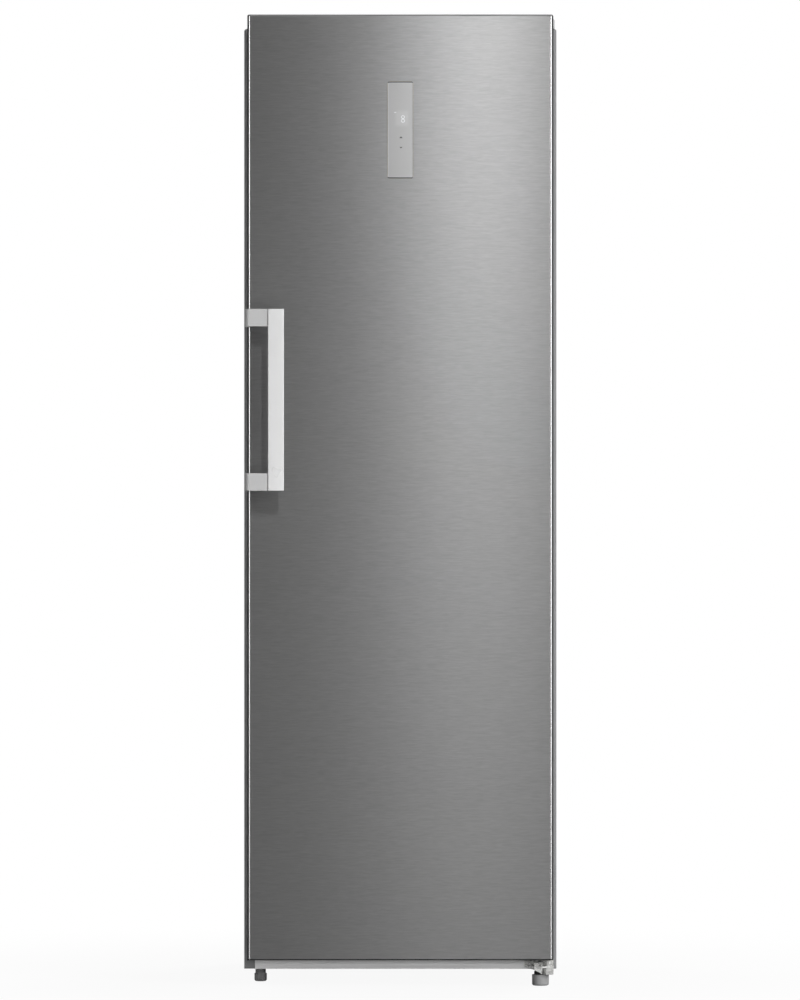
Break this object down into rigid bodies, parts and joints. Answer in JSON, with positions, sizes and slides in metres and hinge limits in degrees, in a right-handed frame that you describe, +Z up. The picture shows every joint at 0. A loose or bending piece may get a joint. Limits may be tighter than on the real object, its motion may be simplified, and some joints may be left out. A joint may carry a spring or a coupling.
{
  "type": "refrigerator",
  "caption": "Tall single-door refrigerator with a brushed steel door, bar handle, glass shelves, drawers, door bins and a compressor at the back.",
  "frame": {"origin": "on the floor below the middle of the whole closed refrigerator", "axes": "+Z up, -Y to the front, +X to the side with the hinges"},
  "size_m": [0.595, 0.698, 1.843],
  "materials": {
    "cabinet_paint": "satin",
    "zinc_sheet": "satin",
    "rail_steel": "satin",
    "liner_white": "satin",
    "foam": "matte",
    "compressor_black": "satin",
    "rubber_black": "matte",
    "black_plastic": "matte",
    "copper": "satin",
    "zinc_steel": "satin",
    "cover_grey": "matte",
    "shelf_glass": "gloss",
    "trim_white": "satin",
    "fin_aluminium": "satin",
    "fan_plastic": "matte",
    "lamp_plastic": "satin",
    "brushed_door": "satin",
    "seal_grey": "matte",
    "panel_grey": "gloss",
    "handle_metal": "satin",
    "nylon": "matte",
    "clear_plastic": "gloss",
    "foot_plastic": "matte"
  },
  "bodies": {
    "cabinet": {"side_panel_left": "cabinet_paint", "side_panel_right": "cabinet_paint", "top_panel": "cabinet_paint", "back_panel": "zinc_sheet", "base_pan": "zinc_sheet", "front_rail": "rail_steel", "base_runners": "zinc_sheet", "liner": "liner_white", "insulation": "foam", "compressor_tray": "zinc_sheet", "compressor": "compressor_black", "compressor_mounts": "rubber_black", "relay_cover": "black_plastic", "evaporation_pan": "black_plastic", "refrigerant_pipes": "copper", "filter_drier": "copper", "cord_gland": "rubber_black", "bottom_hinge_bracket": "zinc_steel", "bottom_hinge_pin": "zinc_steel", "top_hinge_bracket": "zinc_steel", "top_hinge_pin": "zinc_steel", "hinge_fasteners": "zinc_steel", "hinge_cover": "cover_grey", "divider_glass": "shelf_glass", "crisper_cover_glass": "shelf_glass", "shelf_trims": "trim_white", "air_duct_cover": "liner_white", "fan_motor": "fan_plastic", "evaporator": "fin_aluminium", "lamp_lens": "lamp_plastic", "roller_axles": "zinc_steel", "shelf_glass_1": "shelf_glass", "shelf_glass_2": "shelf_glass", "shelf_glass_3": "shelf_glass", "shelf_glass_4": "shelf_glass", "shelf_glass_5": "shelf_glass"},
    "door": {"door_skin": "brushed_door", "door_top_cap": "cover_grey", "door_bottom_cap": "cover_grey", "door_insulation": "foam", "door_liner": "liner_white", "door_gasket": "seal_grey", "control_panel": "panel_grey", "handle_bar": "handle_metal", "handle_bracket_upper": "handle_metal", "handle_bracket_lower": "handle_metal", "handle_screw_caps": "black_plastic", "hinge_bushes": "nylon", "door_balcony_1": "clear_plastic", "door_balcony_2": "clear_plastic", "door_balcony_3": "clear_plastic", "door_balcony_4": "clear_plastic", "door_balcony_5": "clear_plastic"},
    "crisper_upper": {"crisper_upper": "clear_plastic"},
    "crisper_lower": {"crisper_lower": "clear_plastic"},
    "fan_impeller": {"fan_impeller": "fan_plastic"},
    "foot_left": {"foot_left": "foot_plastic"},
    "foot_right": {"foot_right": "foot_plastic"},
    "roller_left": {"roller_left": "foot_plastic"},
    "roller_right": {"roller_right": "foot_plastic"}
  },
  "joints": [
    {"name": "door_hinge", "type": "hinge", "parent": "cabinet", "child": "door", "pos_m": [0.2815, -0.271, 0.947], "axis": [0, 0, 1], "range_deg": [0, 115]},
    {"name": "crisper_upper_slide", "type": "slide", "parent": "cabinet", "child": "crisper_upper", "axis": [0, -1, 0], "range_m": [0, 0.2]},
    {"name": "crisper_lower_slide", "type": "slide", "parent": "cabinet", "child": "crisper_lower", "axis": [0, -1, 0], "range_m": [0, 0.15]},
    {"name": "fan_spin", "type": "hinge", "parent": "cabinet", "child": "fan_impeller", "pos_m": [0, 0.245, 0.651], "axis": [0, 1, 0], "continuous": true},
    {"name": "foot_left_screw", "type": "hinge", "parent": "cabinet", "child": "foot_left", "pos_m": [-0.268, -0.146, 0], "axis": [0, 0, 1], "continuous": true},
    {"name": "foot_right_screw", "type": "hinge", "parent": "cabinet", "child": "foot_right", "pos_m": [0.26652, -0.256, 0], "axis": [0, 0, 1], "continuous": true},
    {"name": "roller_left_spin", "type": "hinge", "parent": "cabinet", "child": "roller_left", "pos_m": [-0.268, 0.3, 0.018], "axis": [1, 0, 0], "continuous": true},
    {"name": "roller_right_spin", "type": "hinge", "parent": "cabinet", "child": "roller_right", "pos_m": [0.268, 0.3, 0.018], "axis": [1, 0, 0], "continuous": true}
  ],
  "couplings": [
    {"joint": "crisper_upper_slide", "follows": "door_hinge", "m_per_rad": 0.0995},
    {"joint": "crisper_lower_slide", "follows": "door_hinge", "m_per_rad": 0.0745}
  ]
}
